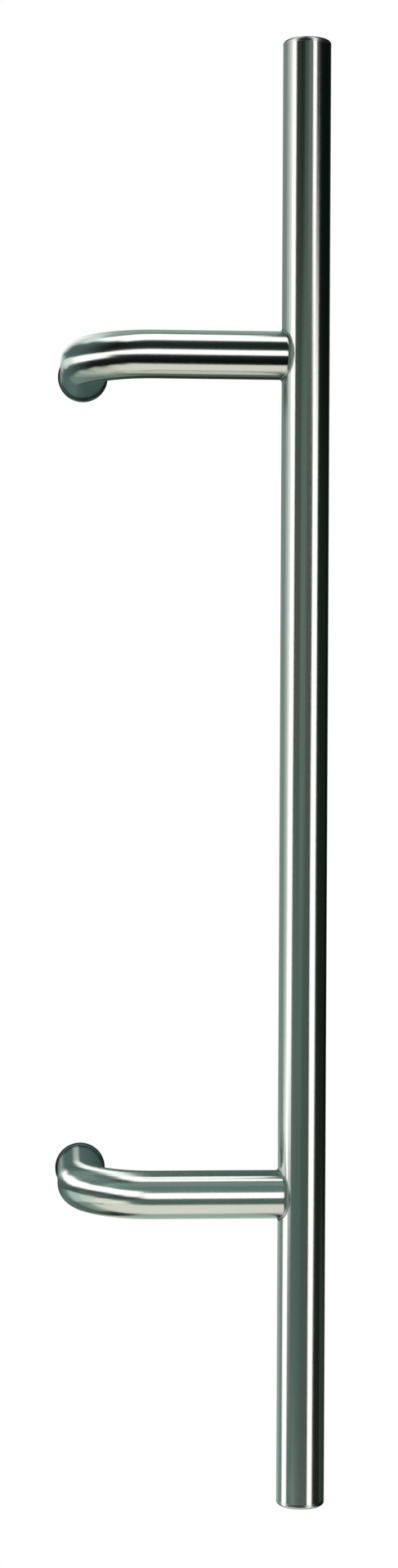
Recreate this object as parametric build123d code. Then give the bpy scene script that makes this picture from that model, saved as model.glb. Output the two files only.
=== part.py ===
from build123d import *
import os

os.makedirs("parts", exist_ok=True)

# Offset door pull: a straight vertical grip on two bent legs, in millimetres.
# The door face is the plane Y = 0 and the handle stands out along -Y.
# The origin lies on the door face, midway between the two fixings. Z is up.

# Tube and overall sizes
tube_diameter = 20.0
tube_wall = 1.5
grip_length = 610.0  # over both end caps
fixing_centres = 350.0
side_offset = 92.0  # from the fixing axis sideways to the grip axis
standoff = 68.0  # from the door face to the axes of the grip and of the legs' straight runs
bend_radius = 30.0  # at the tube axis

# Joint of leg and grip
leg_end_setback = 7.6  # the leg's closed end stops this far short of the grip axis
leg_end_radius = 1.0  # round the rim of that end
weld_radius = 1.0

# End caps of the grip
cap_flange = 2.0
cap_edge_radius = 1.0
cap_spigot = 8.0
spigot_clearance = 0.05

# Threaded inserts in the feet
foot_flange_diameter = 22.0
foot_flange = 1.5
foot_edge_chamfer = 0.4
insert_depth = 20.0  # into the tube, behind the flange
thread_core_diameter = 6.8  # tapping size of the fixing thread

# Sizes that follow from those above
tube_radius = tube_diameter / 2
bore_radius = tube_radius - tube_wall
plug_radius = bore_radius - spigot_clearance
thread_core_radius = thread_core_diameter / 2
grip_y = -standoff
foot_straight = standoff - bend_radius
leg_end = side_offset - leg_end_setback
tube_half_length = grip_length / 2 - cap_flange
leg_heights = {"upper": fixing_centres / 2, "lower": -fixing_centres / 2}
cap_sides = {"upper": 1, "lower": -1}
past_the_face = 1.0  # how far a cutting tool runs out of the face that it opens
joint_reach = 2 * tube_diameter  # of the grip, above and below a joint, that shapes the weld


def round_bar(radius, start, end):
    """A solid bar of the given radius between two points."""
    run = Vector(*end) - Vector(*start)
    return extrude(Plane(origin=start, z_dir=run) * Circle(radius), run.length)


def leg_rod(radius, foot_y, end_x):
    """The leg's path as a solid rod: foot, quarter bend and straight run."""
    bend_start = (0, -foot_straight, 0)
    bend_end = (bend_radius, -standoff, 0)
    bend_axis = Axis((bend_radius, -foot_straight, 0), (0, 0, 1))
    bend_section = Plane(origin=bend_start, z_dir=(0, -1, 0)) * Circle(radius)
    foot = round_bar(radius, (0, foot_y, 0), bend_start)
    bend = revolve(bend_section, bend_axis, 90)
    run = round_bar(radius, bend_end, (end_x, -standoff, 0))
    return foot + bend + run


def leg_outside():
    """The leg's outer shape, closed at the grip by an end with a rounded rim."""
    rod = leg_rod(tube_radius, -foot_flange, leg_end)
    rim = rod.edges().sort_by(Axis.X)[-1]
    return fillet(rim, leg_end_radius)


def grip_bar(radius, half_length):
    """A bar along the grip axis, centred on the height of the origin."""
    ends = [(side_offset, grip_y, z) for z in (-half_length, half_length)]
    return round_bar(radius, *ends)


def make_grip_tube():
    """The straight tube that the hand holds, open at both ends."""
    return grip_bar(tube_radius, tube_half_length) - grip_bar(bore_radius, grip_length / 2)


def make_leg():
    """A bent tube at the origin's height, its closed end coped to sit on the side of the grip."""
    inside = leg_rod(bore_radius, past_the_face, leg_end - tube_wall)
    return leg_outside() - inside - grip_bar(tube_radius, tube_half_length)


def make_weld():
    """The dressed fillet of weld metal all round a leg where it meets the grip."""
    leg = leg_outside()
    grip = grip_bar(tube_radius, joint_reach)
    joined = leg + grip
    seam = new_edges(leg, grip, combined=joined)
    return fillet(seam, weld_radius) - leg - grip


def make_end_cap(side):
    """A turned cap: a flange on the tube end and a spigot in its bore."""
    flange = extrude(Circle(tube_radius), cap_flange)
    rim = flange.edges().group_by(Axis.Z)[-1]
    flange = fillet(rim, cap_edge_radius)
    spigot = extrude(Circle(plug_radius), -cap_spigot)
    cap = flange + spigot
    if side < 0:
        cap = Rot(X=180) * cap
    return Pos(side_offset, grip_y, side * tube_half_length) * cap


def make_fixing_insert():
    """A flanged bush at the origin's height: it closes the foot and takes the fixing thread."""
    door_face = Plane(origin=(0, 0, 0), z_dir=(0, -1, 0))
    flange = extrude(Circle(foot_flange_diameter / 2), foot_flange)
    flange = chamfer(flange.edges().group_by(Axis.Z)[-1], foot_edge_chamfer)
    body = extrude(Circle(plug_radius), foot_flange + insert_depth)
    bore = extrude(Circle(thread_core_radius), foot_flange + insert_depth)
    return door_face * (flange + body - bore)


export_step(make_grip_tube(), "parts/grip_tube.step")

leg = make_leg()
weld = make_weld()
insert = make_fixing_insert()
for place, height in leg_heights.items():
    export_step(Pos(0, 0, height) * leg, f"parts/{place}_leg.step")
    export_step(Pos(0, 0, height) * weld, f"parts/{place}_weld.step")
    export_step(Pos(0, 0, height) * insert, f"parts/{place}_fixing_insert.step")

for place, side in cap_sides.items():
    export_step(make_end_cap(side), f"parts/{place}_end_cap.step")
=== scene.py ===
import math

import bmesh
import bpy
from mathutils import Euler, Matrix, Vector


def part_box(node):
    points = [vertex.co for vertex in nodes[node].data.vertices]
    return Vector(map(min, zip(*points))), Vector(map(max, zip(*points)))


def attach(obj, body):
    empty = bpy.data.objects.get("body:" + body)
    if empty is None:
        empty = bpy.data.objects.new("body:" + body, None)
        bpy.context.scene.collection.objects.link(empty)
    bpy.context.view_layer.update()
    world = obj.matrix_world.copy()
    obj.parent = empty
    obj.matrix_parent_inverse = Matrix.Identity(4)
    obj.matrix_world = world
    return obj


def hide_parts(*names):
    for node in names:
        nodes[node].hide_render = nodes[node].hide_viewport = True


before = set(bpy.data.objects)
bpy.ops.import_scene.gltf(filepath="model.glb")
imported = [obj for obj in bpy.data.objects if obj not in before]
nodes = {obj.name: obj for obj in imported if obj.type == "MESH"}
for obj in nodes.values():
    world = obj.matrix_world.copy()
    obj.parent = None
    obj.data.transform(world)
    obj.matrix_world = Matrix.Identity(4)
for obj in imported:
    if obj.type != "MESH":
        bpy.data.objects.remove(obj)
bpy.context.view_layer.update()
scene = bpy.context.scene
print("frame loaded:", len(nodes), "pieces")


# where the handle's own axes run, in metres
def middleOf(node):
    low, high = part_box(node)
    return [round(v, 5) for v in (low + high) / 2]  # a mesh is good to a hundredth of a millimetre


gripX, gripY = middleOf("grip_tube")[:2]
legHeights = {side: middleOf(side + "_leg")[2] for side in ("upper", "lower")}
legY = gripY  # the legs' straight runs lie as far off the door as the grip


# node helpers
noiseRange = (0.3, 0.7)  # where most of a noise lies


def newFinish(name):
    finish = bpy.data.materials.new(name)
    finish.use_nodes = True
    return finish, finish.node_tree, finish.node_tree.nodes["Principled BSDF"]


def addNode(tree, kind, feeds, **settings):
    made = tree.nodes.new(kind)
    for key, value in settings.items():
        setattr(made, key, value)
    for socket, feed in feeds.items():
        if isinstance(feed, bpy.types.NodeSocket):
            tree.links.new(feed, made.inputs[socket])
        else:
            made.inputs[socket].default_value = feed
    return made.outputs[0]


def calc(tree, operation, first, second=0.0):
    return addNode(tree, "ShaderNodeMath", {0: first, 1: second}, operation=operation)


def objectPlace(tree):
    return tree.nodes.new("ShaderNodeTexCoord").outputs["Object"]


def axesOf(tree, place):
    split = tree.nodes.new("ShaderNodeSeparateXYZ")
    tree.links.new(place, split.inputs[0])
    return split.outputs


def vector(tree, x, y, z):
    return addNode(tree, "ShaderNodeCombineXYZ", {0: x, 1: y, 2: z})


def fromAxis(tree, first, second):
    return calc(tree, "SQRT", calc(tree, "ADD", calc(tree, "MULTIPLY", first, first),
                                   calc(tree, "MULTIPLY", second, second)))


def mixOf(tree, first, second, share):
    rest = calc(tree, "MULTIPLY", second, 1 - share)
    return calc(tree, "ADD", calc(tree, "MULTIPLY", first, share), rest)


def noise(tree, place, scale, detail=3.0, roughness=0.5):
    return addNode(tree, "ShaderNodeTexNoise",
                   {"Vector": place, "Scale": scale, "Detail": detail, "Roughness": roughness})


def spread(tree, value, low, high, fromLow=noiseRange[0], fromHigh=noiseRange[1]):
    return addNode(tree, "ShaderNodeMapRange",
                   {0: value, 1: fromLow, 2: fromHigh, 3: low, 4: high})


def twoTone(tree, value, dull, bright):
    ramp = tree.nodes.new("ShaderNodeValToRGB")
    tree.links.new(value, ramp.inputs[0])
    for stop, position, colour in zip(ramp.color_ramp.elements, noiseRange, (dull, bright)):
        stop.position = position
        stop.color = (*colour, 1)
    return ramp.outputs[0]


def bumpOf(tree, height, strength, depth):
    return addNode(tree, "ShaderNodeBump", {"Strength": strength, "Distance": depth, "Height": height})


# the two slow directions of a line pattern
def slowWays(tree, place, scale):
    x, y, z = axesOf(tree, place)
    first = calc(tree, "MULTIPLY", calc(tree, "ADD", x, z), scale)
    second = calc(tree, "MULTIPLY", calc(tree, "SUBTRACT", y, z), scale)
    return first, second


# steel worked in fine lines: 'acrossLines' counts the metres across them
def steelFinish(tree, shader, look, place, acrossLines, tangent=None):
    lineCount = calc(tree, "MULTIPLY", acrossLines, 1 / look["linePitch"])
    linePlace = vector(tree, lineCount, *slowWays(tree, place, 1 / look["lineLength"]))
    lines = noise(tree, linePlace, scale=1.0, roughness=0.6)
    clouds = noise(tree, place, look["cloudScale"])
    fine = spread(tree, lines, *look["roughness"])
    broad = spread(tree, clouds, -look["cloudRoughness"], look["cloudRoughness"])
    mixed = mixOf(tree, lines, clouds, look["lineShare"])
    bump = bumpOf(tree, lines, look["lineStrength"], look["lineDepth"])
    tree.links.new(calc(tree, "ADD", fine, broad), shader.inputs["Roughness"])
    tree.links.new(twoTone(tree, mixed, look["dull"], look["bright"]), shader.inputs["Base Color"])
    tree.links.new(bump, shader.inputs["Normal"])
    shader.inputs["Metallic"].default_value = 1.0
    shader.inputs["Anisotropic"].default_value = look["anisotropy"]
    if tangent is not None:
        tree.links.new(tangent, shader.inputs["Tangent"])


# grip: satin tube, polished round and round
gripLook = {
    "dull": (0.575, 0.590, 0.575),
    "bright": (0.650, 0.665, 0.645),
    "roughness": (0.17, 0.22),
    "anisotropy": 0.65,
    "linePitch": 0.00011,
    "lineLength": 0.014,
    "lineDepth": 0.000002,
    "lineStrength": 0.08,
    "lineShare": 0.4,  # of the colour's change, the rest is clouds
    "cloudScale": 16.0,
    "cloudRoughness": 0.02,
}


def gripFinish():
    finish, tree, shader = newFinish("satinGrip")
    x, y, z = axesOf(tree, objectPlace(tree))
    ringPlace = vector(tree, x, y, 0.0)  # height counts only across the lines, which run round the tube
    steelFinish(tree, shader, gripLook, ringPlace, z, tangent=vector(tree, 0.0, 0.0, 1.0))
    return finish


# legs: the same tube, with the lines following the bend
legLook = dict(gripLook, roughness=(0.17, 0.23), bendRadius=0.030)


def legFinish():
    finish, tree, shader = newFinish("satinLeg")
    place = objectPlace(tree)
    x, y = axesOf(tree, place)[:2]
    bendRadius = legLook["bendRadius"]
    pastBend = calc(tree, "SUBTRACT", x, bendRadius)
    beforeBend = calc(tree, "SUBTRACT", y, legY + bendRadius)
    outX = calc(tree, "MAXIMUM", calc(tree, "MULTIPLY", pastBend, -1.0), 0.0)
    outY = calc(tree, "MAXIMUM", calc(tree, "MULTIPLY", beforeBend, -1.0), 0.0)
    turn = calc(tree, "ARCTAN2", outY, outX)  # 0 in the foot, a quarter turn in the straight run
    inRun = calc(tree, "MAXIMUM", pastBend, 0.0)
    inFoot = calc(tree, "MAXIMUM", beforeBend, 0.0)
    straight = calc(tree, "SUBTRACT", inRun, inFoot)
    along = calc(tree, "ADD", calc(tree, "MULTIPLY", turn, bendRadius), straight)
    offDoor = calc(tree, "MULTIPLY", calc(tree, "COSINE", turn), -1.0)
    tangent = vector(tree, calc(tree, "SINE", turn), offDoor, 0.0)
    steelFinish(tree, shader, legLook, place, along, tangent)
    return finish


# end caps: turned discs, rings about the grip's axis
capLook = {
    "dull": (0.54, 0.555, 0.54),
    "bright": (0.62, 0.635, 0.615),
    "roughness": (0.22, 0.34),
    "anisotropy": 0.3,
    "linePitch": 0.00022,
    "lineLength": 0.05,
    "lineDepth": 0.000006,
    "lineStrength": 0.3,
    "lineShare": 0.4,
    "cloudScale": 60.0,
    "cloudRoughness": 0.02,
}


def capFinish():
    finish, tree, shader = newFinish("turnedCap")
    place = objectPlace(tree)
    x, y, z = axesOf(tree, place)
    radius = fromAxis(tree, calc(tree, "SUBTRACT", x, gripX), calc(tree, "SUBTRACT", y, gripY))
    steelFinish(tree, shader, capLook, place, calc(tree, "ADD", radius, z))
    return finish


# welds: a fillet dressed with a fine wheel, a little duller than the tubes
weldLook = {
    "dull": (0.47, 0.48, 0.465),
    "bright": (0.58, 0.59, 0.575),
    "roughness": (0.28, 0.40),
    "grainScale": 2600.0,
    "grainShare": 0.4,
    "rippleScale": 420.0,
    "rippleDepth": 0.00006,
    "rippleStrength": 0.35,
}


def weldFinish():
    finish, tree, shader = newFinish("dressedWeld")
    place = objectPlace(tree)
    grain = noise(tree, place, weldLook["grainScale"], roughness=0.6)
    ripple = noise(tree, place, weldLook["rippleScale"], detail=2.0)
    mixed = mixOf(tree, grain, ripple, weldLook["grainShare"])
    bump = bumpOf(tree, mixed, weldLook["rippleStrength"], weldLook["rippleDepth"])
    tree.links.new(twoTone(tree, mixed, weldLook["dull"], weldLook["bright"]), shader.inputs["Base Color"])
    tree.links.new(spread(tree, grain, *weldLook["roughness"]), shader.inputs["Roughness"])
    tree.links.new(bump, shader.inputs["Normal"])
    shader.inputs["Metallic"].default_value = 1.0
    return finish


def dress(name, finish):
    nodes[name].data.materials.clear()
    nodes[name].data.materials.append(finish)


dress("grip_tube", gripFinish())
legSteel, capSteel, weldSteel = legFinish(), capFinish(), weldFinish()
for side in legHeights:
    dress(side + "_leg", legSteel)
    dress(side + "_end_cap", capSteel)
    dress(side + "_weld", weldSteel)
print("tubes, caps and welds finished")


# fixing inserts: turned bushes with a cut thread
insertLook = {
    "dull": (0.52, 0.53, 0.52),
    "bright": (0.61, 0.62, 0.605),
    "roughness": (0.24, 0.38),
    "anisotropy": 0.3,
    "linePitch": 0.00025,
    "lineLength": 0.05,
    "lineDepth": 0.000008,
    "lineStrength": 0.3,
    "lineShare": 0.4,
    "cloudScale": 80.0,
    "cloudRoughness": 0.03,
    "paintedShadeFrom": (0.0094, 0.0099),  # from the axis, where the flange's rim is darkened with painted shade
    # painted shade: the tone that the flange's rim colour is multiplied by
    "paintedShadeTone": (0.165, 0.31, 0.29),
}

insertShape = {
    "flangeRadius": 0.011,
    "flange": 0.0015,
    "flangeChamfer": 0.0004,
    "bodyRadius": 0.00845,
    "depth": 0.0215,
    "threadCore": 0.0034,
    "threadOuter": 0.0040,
    "pitch": 0.00125,
    "toothSteps": (0.0, 0.125, 0.5, 0.625, 1.0),  # shares of the pitch: crest, flank, root, flank
    "mouthRadius": 0.0043,
    "mouthDepth": 0.0004,
    "threadStart": 0.0006,  # from either face
    "steps": 40,  # to a turn of the thread
    "sharpAngle": 25,  # degrees
    "mergeDistance": 1e-6,
}


def insertFinish(height):
    finish, tree, shader = newFinish("turnedInsert")
    place = objectPlace(tree)
    x, y, z = axesOf(tree, place)
    radius = fromAxis(tree, x, calc(tree, "SUBTRACT", z, height))
    steelFinish(tree, shader, insertLook, place, calc(tree, "ADD", radius, y))
    # painted shade: from 9.4 to 9.9 mm off the axis, the steel's colour darkens into the flange's rim
    inner, outer = insertLook["paintedShadeFrom"]
    paintedShadeTone = vector(tree, *[spread(tree, radius, 1.0, tone, inner, outer) for tone in insertLook["paintedShadeTone"]])
    unshadedColour = shader.inputs["Base Color"].links[0].from_socket
    shadedColour = addNode(tree, "ShaderNodeVectorMath", {0: unshadedColour, 1: paintedShadeTone}, operation="MULTIPLY")
    tree.links.new(shadedColour, shader.inputs["Base Color"])
    return finish


# an outline of radius and depth, spun about the bush's axis
def spinOutline(bm, outline, turns, **settings):
    points = [bm.verts.new((radius, y, 0)) for radius, y in outline]
    edges = [bm.edges.new(pair) for pair in zip(points, points[1:])]
    bmesh.ops.spin(bm, geom=points + edges, cent=(0, 0, 0), axis=(0, 1, 0),
                   angle=2 * math.pi * turns, **settings)


# from the mouth on the door face, round the flange and the body, to the far mouth
def bushOutside(bm):
    shape = insertShape
    boreMouth = shape["mouthRadius"] - shape["mouthDepth"]
    spinOutline(bm, [
        (boreMouth, -shape["mouthDepth"]),
        (shape["mouthRadius"], 0.0),
        (shape["flangeRadius"], 0.0),
        (shape["flangeRadius"], shape["flangeChamfer"] - shape["flange"]),
        (shape["flangeRadius"] - shape["flangeChamfer"], -shape["flange"]),
        (shape["bodyRadius"], -shape["flange"]),
        (shape["bodyRadius"], -shape["depth"]),
        (shape["mouthRadius"], -shape["depth"]),
        (boreMouth, shape["mouthDepth"] - shape["depth"]),
    ], turns=1, steps=2 * shape["steps"], use_merge=True)


# one pitch of the thread, wound up the bore and cut off short of both faces
def cutThread(bm):
    shape = insertShape
    thread = bmesh.new()
    crest, root = shape["threadCore"], shape["threadOuter"]
    turns = math.ceil(shape["depth"] / shape["pitch"]) + 2  # with one to cut off at each end
    start = -shape["depth"] - shape["pitch"]
    radii = (crest, crest, root, root, crest)
    tooth = [(radius, start + step * shape["pitch"]) for radius, step in zip(radii, shape["toothSteps"])]
    rise = shape["pitch"] / shape["steps"]
    spinOutline(thread, tooth, turns, steps=shape["steps"] * turns, dvec=(0, rise, 0))
    bmesh.ops.remove_doubles(thread, verts=thread.verts, dist=shape["mergeDistance"])
    for y, outward in ((-shape["threadStart"], 1), (shape["threadStart"] - shape["depth"], -1)):
        bmesh.ops.bisect_plane(thread, geom=thread.verts[:] + thread.edges[:] + thread.faces[:],
                               plane_co=(0, y, 0), plane_no=(0, outward, 0), clear_outer=True)
    wound = bpy.data.meshes.new("thread")
    thread.to_mesh(wound)
    thread.free()
    bm.from_mesh(wound)
    bpy.data.meshes.remove(wound)


def openRing(bm, y):
    near = insertShape["mergeDistance"]
    return [e for e in bm.edges if e.is_boundary and all(abs(v.co.y - y) < near for v in e.verts)]


def fixingInsert(name, height):
    shape = insertShape
    bm = bmesh.new()
    bushOutside(bm)
    cutThread(bm)
    for mouth, cut in ((-shape["mouthDepth"], -shape["threadStart"]),
                       (shape["mouthDepth"] - shape["depth"], shape["threadStart"] - shape["depth"])):
        bmesh.ops.bridge_loops(bm, edges=openRing(bm, mouth) + openRing(bm, cut))
    bmesh.ops.recalc_face_normals(bm, faces=bm.faces)
    bmesh.ops.translate(bm, verts=bm.verts, vec=(0, 0, height))
    mesh = bpy.data.meshes.new(name)
    bm.to_mesh(mesh)
    print(name, len(mesh.polygons), "faces, open edges:", sum(e.is_boundary for e in bm.edges))
    bm.free()
    mesh.shade_smooth()
    mesh.set_sharp_from_angle(angle=math.radians(shape["sharpAngle"]))
    mesh.materials.append(insertFinish(height))
    insert = bpy.data.objects.new(name, mesh)
    scene.collection.objects.link(insert)
    return insert


inserts = []
for side, height in legHeights.items():
    insert = fixingInsert(side + "FixingInsert", height)
    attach(insert, "root")
    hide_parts(side + "_fixing_insert")
    inserts.append(insert)
print("fixing inserts cut")


# stage: the floor, a pale card below the set and the dark cloth round it
floorLook = {
    "height": -0.42,
    "middle": -0.85,  # in front of the door face
    "radius": 1.0,
    "segments": 96,
    "bright": (0.95, 0.95, 0.945),
    "dull": (0.944, 0.944, 0.939),
    "speckScale": 90.0,
    "roughness": 0.9,
    "lampSize": 2.0,
    "lampHeight": 6.0,
    "lampPower": 246.0,
}

cardLook = {
    "height": -0.605,
    "across": (-0.45, 0.5),  # left and right edge
    "depth": (-0.60, -0.05),  # front and back edge
    "bright": (1.04, 1.05, 0.925),
    "dull": (1.03, 1.04, 0.915),
    "speckScale": 30.0,
}

clothLook = {
    "radius": 3.0,
    "segments": (48, 24),
    "front": (0.004, 0.007, 0.0055),
    "back": (0.098, 0.165, 0.150),  # behind the door face and to the left
    "lean": (-0.6, 0.6),  # how far the place across and the height count beside the depth
    "turn": (1.2, 3.2),  # where the one goes over into the other
}


def stagePiece(name, bm, material):
    mesh = bpy.data.meshes.new(name)
    bm.to_mesh(mesh)
    bm.free()
    mesh.materials.append(material)
    piece = bpy.data.objects.new(name, mesh)
    scene.collection.objects.link(piece)
    return piece


# shows in the steel alone
def onlyReflected(piece):
    for ray in ("camera", "diffuse", "transmission", "shadow", "volume_scatter"):
        setattr(piece, "visible_" + ray, False)


def glowing(name, tone):
    finish = bpy.data.materials.new(name)
    finish.use_nodes = True
    tree = finish.node_tree
    tree.nodes.remove(tree.nodes["Principled BSDF"])
    glow = addNode(tree, "ShaderNodeEmission", {"Color": tone(tree), "Strength": 1.0})
    tree.links.new(glow, tree.nodes["Material Output"].inputs["Surface"])
    return finish


def specks(tree, look):
    return twoTone(tree, noise(tree, objectPlace(tree), look["speckScale"]), look["dull"], look["bright"])


def floorPaint():
    finish, tree, shader = newFinish("paleFloor")
    tree.links.new(specks(tree, floorLook), shader.inputs["Base Color"])
    shader.inputs["Roughness"].default_value = floorLook["roughness"]
    shader.inputs["Specular IOR Level"].default_value = 0.0
    return finish


def cardTone(tree):
    return specks(tree, cardLook)


def clothTone(tree):
    x, y, z = axesOf(tree, objectPlace(tree))
    across, up = clothLook["lean"]
    lean = calc(tree, "ADD", calc(tree, "MULTIPLY", x, across), calc(tree, "MULTIPLY", z, up))
    back = spread(tree, calc(tree, "ADD", y, lean), *noiseRange, *clothLook["turn"])
    return twoTone(tree, back, clothLook["front"], clothLook["back"])


def layFloor():
    bm = bmesh.new()
    bmesh.ops.create_circle(bm, cap_ends=True, segments=floorLook["segments"], radius=floorLook["radius"])
    bmesh.ops.translate(bm, verts=bm.verts, vec=(0, floorLook["middle"], floorLook["height"]))
    floor = stagePiece("floor", bm, floorPaint())
    floor.visible_glossy = False
    return floor


def layCard():
    left, right = cardLook["across"]
    front, back = cardLook["depth"]
    corners = [(left, front), (right, front), (right, back), (left, back)]
    bm = bmesh.new()
    bm.faces.new([bm.verts.new((x, y, cardLook["height"])) for x, y in corners])
    onlyReflected(stagePiece("paleCard", bm, glowing("paleCard", cardTone)))


def hangCloth():
    segments, rings = clothLook["segments"]
    bm = bmesh.new()
    bmesh.ops.create_uvsphere(bm, u_segments=segments, v_segments=rings, radius=clothLook["radius"])
    onlyReflected(stagePiece("clothRoundTheSet", bm, glowing("darkCloth", clothTone)))


floor = layFloor()
layCard()
hangCloth()
print("floor, card and cloth set up")


# lights: strip boxes, each set for some of the pieces
def pieceGroup(name, pieces):
    group = bpy.data.collections.new(name)
    for piece in pieces:
        group.objects.link(piece)
    return group


groups = {
    "grip": pieceGroup("gripPieces", [nodes["grip_tube"], nodes["upper_end_cap"], nodes["lower_end_cap"]]),
    "tube": pieceGroup("tubePieces", [nodes["grip_tube"]]),
    "upperCap": pieceGroup("upperCapPiece", [nodes["upper_end_cap"]]),
    "lowerCap": pieceGroup("lowerCapPiece", [nodes["lower_end_cap"]]),
    "upper": pieceGroup("upperPieces", [nodes["upper_leg"]]),
    "lower": pieceGroup("lowerPieces", [nodes["lower_leg"]]),
    "joint": pieceGroup("jointPieces", [nodes["upper_weld"], nodes["lower_weld"]]),
    "insert": pieceGroup("insertPieces", inserts),
    "floor": pieceGroup("floorPieces", [floor]),
}

white = (1.44, 1.45, 1.42)

# upright strips: first and last angle seen from the grip (0 to the front, 90 to the right),
# lower and upper end, colour
uprights = {
    "leftBack": ("grip", -170, -113, -0.34, 0.85, (0.12, 0.145, 0.13)),
    "leftBackFoot": ("grip", -170, -135, -0.85, -0.34, (0.27, 0.32, 0.31)),
    "leftRimFoot": ("grip", -135, -106, -0.85, -0.34, (0.13, 0.19, 0.16)),
    "leftRim": ("grip", -113, -96, -0.34, 0.85, (0.34, 0.37, 0.345)),
    "leftSoft": ("grip", -96, -80, -0.34, 0.85, (0.72, 0.73, 0.69)),
    "leftCore": ("grip", -80, -57.8, 0.0, 0.85, white),
    "leftCoreLow": ("grip", -84, -60.5, -0.34, 0.0, white),
    "leftFoot": ("grip", -106, -77.5, -0.85, -0.34, white),
    "topSide": ("tube", -52, -34, 0.40, 0.85, (0.020, 0.030, 0.022)),
    "topLeft": ("tube", -34, -14, 0.40, 0.85, (0.008, 0.010, 0.008)),
    "topMiddle": ("tube", -14, 3, 0.40, 0.85, (0.062, 0.092, 0.078)),
    "topRight": ("tube", 3, 20, 0.40, 0.85, (0.150, 0.205, 0.180)),
    "middleLeft": ("tube", -50, -26, -0.10, 0.40, (0.062, 0.100, 0.077)),
    "middle": ("tube", -26, 2, -0.10, 0.40, (0.126, 0.186, 0.152)),
    "middleRight": ("tube", 2, 20, -0.10, 0.40, (0.070, 0.098, 0.078)),
    "lowLeft": ("tube", -74, -10, -0.35, -0.10, (0.115, 0.168, 0.148)),
    "footLeft": ("tube", -74, -10, -0.85, -0.35, (0.066, 0.125, 0.111)),
    "footRight": ("tube", -10, 20, -0.85, -0.10, (0.065, 0.098, 0.081)),
    "rightTop": ("grip", 23.5, 41.5, 0.40, 0.85, white),
    "right": ("grip", 30.5, 56.5, 0.0, 0.40, white),
    "rightLow": ("grip", 27.8, 55.3, -0.45, 0.0, white),
    "rightFoot": ("grip", 27, 51, -0.85, -0.45, white),
    "rightDark": ("tube", 60, 120, -0.85, 0.30, (0.007, 0.011, 0.006)),
    "rightDarkFoot": ("tube", 95, 140, -0.85, -0.45, (0.03, 0.038, 0.028)),
    "rightBack": ("grip", 160, 174, -0.85, 0.85, (0.32, 0.38, 0.35)),
    "jointFront": ("joint", -110, 40, -1.0, 1.0, (0.25, 0.40, 0.34)),
}

# level strips: first and last angle seen from a leg (0 to the front, 90 up), left end, colour
levels = {
    "upperTopBack": ("upper", 108, 165, -0.50, (0.20, 0.25, 0.22)),
    "upperTop": ("upper", 61.5, 100, -0.70, white),
    "upperFront": ("upper", -8.2, 14, -2.00, white),
    "upperDark": ("upper", 14, 61.5, -0.70, (0.003, 0.012, 0.010)),
    "upperBelowBack": ("upper", -113, -91, -0.35, (0.62, 0.65, 0.55)),
    "upperBelowEdge": ("upper", -135, -113, -0.35, (0.10, 0.13, 0.095)),
    "lowerTop": ("lower", 76, 104, -0.30, white),
    "lowerFrontTop": ("lower", 50, 72, -1.40, (0.185, 0.275, 0.255)),
    "lowerFront": ("lower", 19, 50, -1.40, (0.130, 0.198, 0.183)),
    "lowerMiddle": ("lower", -8.5, 18, -0.22, white),
    "lowerDark": ("lower", -38, -12.5, -1.40, (0.08, 0.14, 0.12)),
    "lowerBelowBack": ("lower", -168, -90, -0.15, (0.37, 0.47, 0.40)),
}

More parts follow.
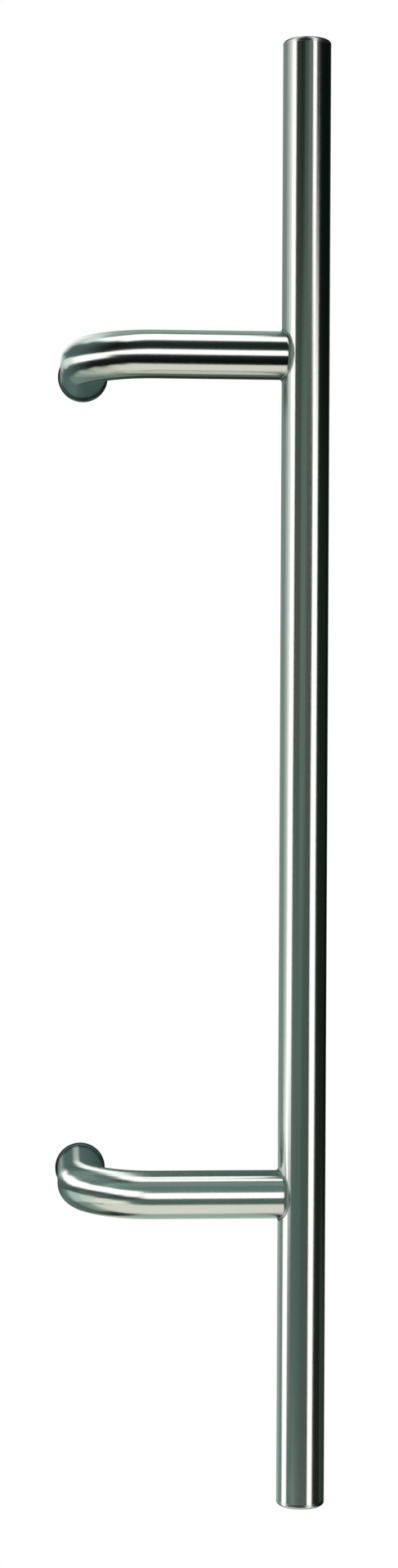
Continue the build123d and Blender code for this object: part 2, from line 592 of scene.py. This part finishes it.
# panels round a bend: first and last angle round it (0 to the front, -90 to the left),
# first and last angle up, colour
bendPanels = {
    "upperTopLeft": ("upper", -118, -72, 50, 65, (1.10, 1.12, 1.10)),
    "upperTopTurn": ("upper", -140, -116, 38, 56, (0.70, 0.73, 0.71)),
    "upperTopFoot": ("upper", -162, -138, 30, 52, (0.45, 0.48, 0.46)),
    "upperTopHeel": ("upper", -162, -147, 17, 30, (0.40, 0.43, 0.41)),
    "upperTopEnd": ("upper", -174, -162, 8, 36, (0.70, 0.72, 0.70)),
    "upperFrontLeft": ("upper", -90, -58, -14.5, 6.5, white),
    "upperFrontTurn": ("upper", -105, -90, -13, 7, white),
    "upperFrontHeel": ("upper", -120, -105, -10, 7, (1.12, 1.15, 1.13)),
    "upperFrontFoot": ("upper", -146, -120, -6.5, 9, (0.68, 0.71, 0.68)),
    "upperFrontEnd": ("upper", -165, -146, 0, 14, (0.42, 0.45, 0.43)),
    "upperBelowLeft": ("upper", -90, -55, -75, -47, (0.75, 0.75, 0.63)),
    "upperBelowTurn": ("upper", -120, -90, -72, -38, (0.58, 0.62, 0.52)),
    "upperBelowFoot": ("upper", -138, -120, -62, -28, (0.46, 0.52, 0.44)),
    "upperBelowHeel": ("upper", -152, -138, -60, -24, (0.28, 0.34, 0.28)),
    "upperBelowEnd": ("upper", -174, -152, -55, -14, (0.12, 0.17, 0.14)),
    "lowerTopTurn": ("lower", -150, -90, 70, 80, (1.30, 1.30, 1.28)),
    "lowerTopFoot": ("lower", -165, -135, 58, 70, (1.30, 1.30, 1.28)),
    "lowerTopHeel": ("lower", -172, -152, 46, 58, (1.30, 1.30, 1.28)),
    "lowerTopEnd": ("lower", -175, -163, 24, 46, (1.30, 1.30, 1.28)),
    "lowerTopTip": ("lower", -178, -171, 13, 24, (0.95, 0.97, 0.95)),
    "lowerFrontLeft": ("lower", -110, -60, 33, 60, (0.085, 0.125, 0.115)),
    "lowerFrontTurn": ("lower", -150, -110, 25, 50, (0.11, 0.15, 0.135)),
    "lowerMiddleNear": ("lower", -34, -13, 0, 26, white),
    "lowerMiddleStep": ("lower", -52, -34, 6, 28, white),
    "lowerMiddleLeft": ("lower", -78, -52, 10, 31, white),
    "lowerMiddleTurn": ("lower", -106, -78, 9, 28, white),
    "lowerMiddleFoot": ("lower", -136, -106, 5.5, 24, (1.40, 1.40, 1.37)),
    "lowerMiddleEnd": ("lower", -155, -136, 5, 16, (1.25, 1.25, 1.22)),
    "lowerMiddleTip": ("lower", -165, -155, -3, 5, (0.40, 0.40, 0.39)),
    "lowerDarkLeft": ("lower", -100, -50, -13, 2, (0.075, 0.115, 0.10)),
    "lowerBelowNear": ("lower", -52, -30, -46, -21, (0.88, 0.95, 0.82)),
    "lowerBelowLeft": ("lower", -76, -51, -36, -16, (0.88, 0.90, 0.78)),
    "lowerBelowTurn": ("lower", -101, -75, -36, -12, (0.65, 0.75, 0.68)),
    "lowerBelowFoot": ("lower", -128, -100, -34, -10, (0.46, 0.57, 0.52)),
    "lowerUnderLeft": ("lower", -76, -51, -66, -36, (0.72, 0.75, 0.66)),
    "lowerUnderTurn": ("lower", -101, -75, -80, -36, (0.60, 0.68, 0.60)),
    "lowerUnderFoot": ("lower", -128, -101, -62, -34, (0.24, 0.31, 0.27)),
    "lowerBelowEnd": ("lower", -150, -127, -60, -12, (0.06, 0.11, 0.09)),
    "lowerBelowTip": ("lower", -175, -150, -50, -18, (0.09, 0.12, 0.11)),
}

# panels above and below the end caps, which carry the grip's white stripes over their edges
capPanels = {
    "capTopLeft": ("upperCap", -86, -56, 22, 80, white),
    "capTopRight": ("upperCap", 19, 44, 22, 80, white),
    "capFootLeft": ("lowerCap", -108, -74, -50, -22, white),
    "capFootRight": ("lowerCap", 25, 53, -50, -22, white),
}

stripSet = {
    "distance": 1.2,
    "rightEnd": 1.5,
    "bendMiddle": (0.010, -0.055),  # across and deep
    "capHeight": 0.303,
    "power": 4.0,  # of a square metre of panel whose colour is 1
}
panelMiddles = {
    "upper": Vector((*stripSet["bendMiddle"], legHeights["upper"])),
    "lower": Vector((*stripSet["bendMiddle"], legHeights["lower"])),
    "upperCap": Vector((gripX, gripY, stripSet["capHeight"])),
    "lowerCap": Vector((gripX, gripY, -stripSet["capHeight"])),
}
sideways = Vector((1, 0, 0))
inwards = Vector((0, 1, 0))
upwards = Vector((0, 0, 1))


def panel(name, group, middle, along, outward, length, width, colour):
    level = max(colour)
    lamp = bpy.data.lights.new(name, "AREA")
    lamp.shape = "RECTANGLE"
    lamp.size = length
    lamp.size_y = width
    lamp.color = [c / level for c in colour]
    lamp.energy = stripSet["power"] * length * width * level
    strip = bpy.data.objects.new(name, lamp)
    turn = Matrix((along, outward.cross(along), outward)).transposed()
    strip.matrix_world = Matrix.Translation(middle) @ turn.to_4x4()
    scene.collection.objects.link(strip)
    strip.visible_camera = False
    strip.light_linking.receiver_collection = groups[group]


# the middle of an angle, and how wide it is where the strips stand
def middleAndWidth(first, last):
    width = 2 * stripSet["distance"] * math.tan(math.radians(last - first) / 2)
    return math.radians(first + last) / 2, width


def uprightStrip(name, group, first, last, low, high, colour):
    swing, width = middleAndWidth(first, last)
    outward = Vector((math.sin(swing), -math.cos(swing), 0))
    middle = Vector((gripX, gripY, (low + high) / 2)) + outward * stripSet["distance"]
    panel(name, group, middle, upwards, outward, high - low, width, colour)


def levelStrip(name, group, first, last, left, colour):
    tilt, width = middleAndWidth(first, last)
    outward = Vector((0, -math.cos(tilt), math.sin(tilt)))
    right = stripSet["rightEnd"]
    middle = Vector(((left + right) / 2, legY, legHeights[group])) + outward * stripSet["distance"]
    panel(name, group, middle, sideways, outward, right - left, width, colour)


def anglePanel(name, group, first, last, low, high, colour):
    swing, width = middleAndWidth(first, last)
    tilt, height = middleAndWidth(low, high)
    level = Vector((math.sin(swing), -math.cos(swing), 0))
    outward = level * math.cos(tilt) + upwards * math.sin(tilt)
    middle = panelMiddles[group] + outward * stripSet["distance"]
    panel(name, group, middle, upwards.cross(level), outward, width * math.cos(tilt), height, colour)


for name, strip in uprights.items():
    uprightStrip(name, *strip)
for name, strip in levels.items():
    levelStrip(name, *strip)
for name, strip in [*bendPanels.items(), *capPanels.items()]:
    anglePanel(name, *strip)

# light for the welds from above and from below
weldLight = {"height": 1.2, "size": 2.4, "colour": (0.16, 0.23, 0.20)}
for name, outward in (("weldTop", upwards), ("weldBelow", -upwards)):
    middle = Vector((0, legY, 0)) + outward * weldLight["height"]
    panel(name, "joint", middle, sideways, outward,
          weldLight["size"], weldLight["size"], weldLight["colour"])

# light behind the feet
footLight = {"distance": 1.2, "size": 2.0, "colour": (0.42, 0.47, 0.45)}
panel("footBack", "insert", inwards * footLight["distance"], sideways, inwards,
      footLight["size"], footLight["size"], footLight["colour"])


def floorLamp():
    lamp = bpy.data.lights.new("floorLight", "AREA")
    lamp.shape = "SQUARE"
    lamp.size = floorLook["lampSize"]
    lamp.energy = floorLook["lampPower"]
    overhead = bpy.data.objects.new("floorLight", lamp)
    overhead.location = (0, floorLook["middle"], floorLook["lampHeight"])
    overhead.visible_camera = False
    overhead.visible_glossy = False
    overhead.light_linking.receiver_collection = groups["floor"]
    scene.collection.objects.link(overhead)


floorLamp()
print("lights set:", len(bpy.data.lights))


# white surroundings
roomLook = {"colour": (1, 1, 1, 1), "seen": 1.0, "fill": 0.55}


def whiteRoom():
    room = bpy.data.worlds.new("whiteRoom")
    room.use_nodes = True
    tree = room.node_tree
    backdrop = tree.nodes["Background"]
    rays = tree.nodes.new("ShaderNodeLightPath").outputs
    seen = calc(tree, "MAXIMUM", rays["Is Camera Ray"], rays["Is Glossy Ray"])
    seen = calc(tree, "MAXIMUM", seen, rays["Is Transmission Ray"])
    strength = spread(tree, seen, roomLook["fill"], roomLook["seen"], 0.0, 1.0)
    backdrop.inputs["Color"].default_value = roomLook["colour"]
    tree.links.new(strength, backdrop.inputs["Strength"])
    return room


scene.world = whiteRoom()
scene.view_settings.view_transform = "Standard"

# camera
cameraView = {
    "place": (-0.0105, -1.0861, 0.0135),
    "turn": (89.05, -0.25, -3.30),  # degrees
    "lens": 56.2,
    "sensor": 36.0,
    "nearest": 0.01,
}


def frontCamera():
    lens = bpy.data.cameras.new("frontView")
    lens.lens = cameraView["lens"]
    lens.sensor_width = cameraView["sensor"]
    lens.clip_start = cameraView["nearest"]
    eye = bpy.data.objects.new("frontView", lens)
    eye.location = cameraView["place"]
    eye.rotation_euler = Euler([math.radians(a) for a in cameraView["turn"]])
    scene.collection.objects.link(eye)
    return eye


scene.camera = frontCamera()
print("camera placed")
